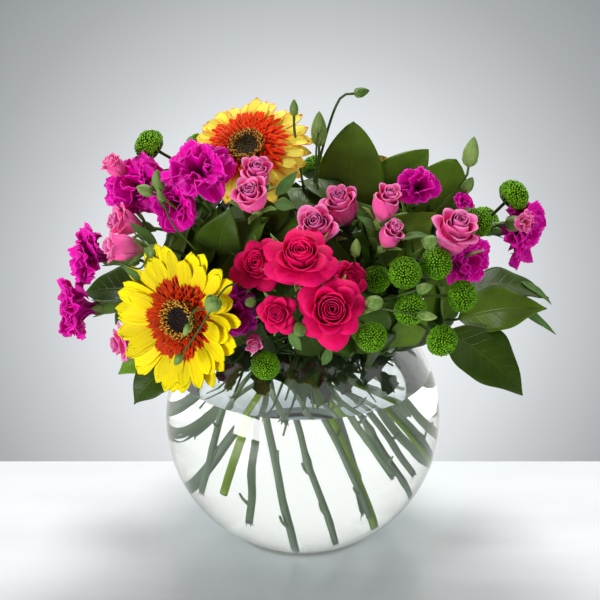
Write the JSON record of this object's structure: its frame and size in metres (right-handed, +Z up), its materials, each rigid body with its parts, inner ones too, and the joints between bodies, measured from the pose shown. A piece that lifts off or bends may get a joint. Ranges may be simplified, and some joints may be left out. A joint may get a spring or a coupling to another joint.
{
  "type": "gerberas in a vase",
  "caption": "Mixed bouquet of gerberas, spray roses, carnations and green button flowers with leaves, standing in a round clear glass bowl vase of water.",
  "frame": {"origin": "middle of the vase's flat base, where it stands", "axes": "+Z up out of the vase's mouth, -Y towards the bouquet's front, +X to the right seen from the front"},
  "size_m": [0.3479, 0.253, 0.3391],
  "materials": {
    "vase_glass": "clear polished",
    "water": null,
    "stems": "fresh stems and calyces, satin",
    "leaves": "fresh leaves, satin",
    "green_blooms": "matt florets on green stems",
    "gerbera_petals": "matt petals",
    "gerbera_florets": "matt florets",
    "hot_pink_petals": "matt petals",
    "pink_petals": "matt petals",
    "carnation_petals": "matt petals"
  },
  "bodies": {
    "root": {"buds_top_stem": "stems", "buttons_back_stem": "green_blooms", "buttons_far_right_stem": "green_blooms", "buttons_left_stem": "green_blooms", "buttons_middle_stem": "green_blooms", "buttons_right_stem": "green_blooms", "carnation_1": "carnation_petals", "carnation_2": "carnation_petals", "carnation_3": "carnation_petals", "carnation_4": "carnation_petals", "carnation_5": "carnation_petals", "carnation_6": "carnation_petals", "carnation_7": "carnation_petals", "carnation_8": "carnation_petals", "carnation_9": "carnation_petals", "carnation_back": "carnation_petals", "carnations_back_stem": "stems", "carnations_left_stem": "stems", "carnations_low_left_stem": "stems", "carnations_right_stem": "stems", "gerbera_back_rays": "gerbera_petals", "gerbera_back_ring": "gerbera_florets", "gerbera_back_stem": "stems", "gerbera_upper_disc": "gerbera_florets", "gerbera_upper_rays": "gerbera_petals", "gerbera_upper_ring": "gerbera_florets", "gerbera_upper_stem": "stems", "gerbera_yellow_disc": "gerbera_florets", "gerbera_yellow_rays": "gerbera_petals", "gerbera_yellow_ring": "gerbera_florets", "gerbera_yellow_stem": "stems", "leaves_back_left": "leaves", "leaves_back_right": "leaves", "leaves_low_left": "leaves", "leaves_low_right": "leaves", "leaves_right": "leaves", "leaves_top": "leaves", "rose_hot_1": "hot_pink_petals", "rose_hot_2": "hot_pink_petals", "rose_hot_3": "hot_pink_petals", "rose_hot_4": "hot_pink_petals", "rose_hot_5": "hot_pink_petals", "rose_pink_1": "pink_petals", "rose_pink_10": "pink_petals", "rose_pink_2": "pink_petals", "rose_pink_3": "pink_petals", "rose_pink_4": "pink_petals", "rose_pink_5": "pink_petals", "rose_pink_6": "pink_petals", "rose_pink_7": "pink_petals", "rose_pink_8": "pink_petals", "rose_pink_9": "pink_petals", "roses_hot_left_stem": "stems", "roses_hot_right_stem": "stems", "roses_pink_left_stem": "stems", "roses_pink_middle_stem": "stems", "roses_pink_right_stem": "stems", "vase": "vase_glass", "water": "water"}
  },
  "joints": []
}
